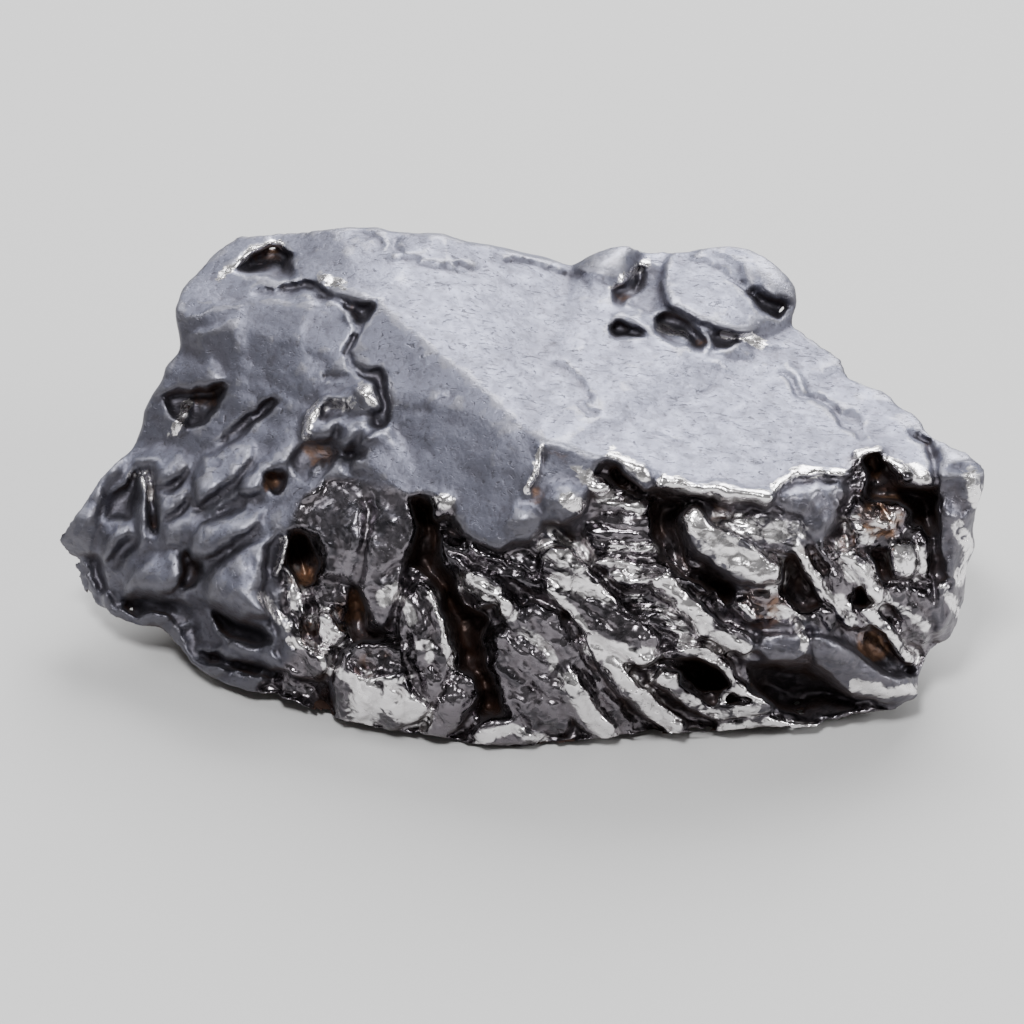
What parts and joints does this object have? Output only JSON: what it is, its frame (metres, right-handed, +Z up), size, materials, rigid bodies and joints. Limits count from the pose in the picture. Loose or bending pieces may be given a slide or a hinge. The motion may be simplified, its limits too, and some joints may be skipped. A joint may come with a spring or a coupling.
{
  "type": "iron meteorite",
  "caption": "Shrapnel-like lump of nickel-iron with smooth scratched skin facets on top and a deep torn, folded front, resting on a small flat spot.",
  "frame": {"origin": "bottom centre of the bounding box, on the surface that the meteorite rests on", "axes": "+Z up; +X along the longest extent, to the right as the torn front is seen; +Y away from the torn front"},
  "size_m": [0.065, 0.0342, 0.0267],
  "materials": {
    "nickel_iron": "satin grey nickel-iron skin, glossier torn metal, dark oxide in the hollows with some rust brown"
  },
  "bodies": {
    "root": {"meteorite": "nickel_iron"}
  },
  "joints": []
}
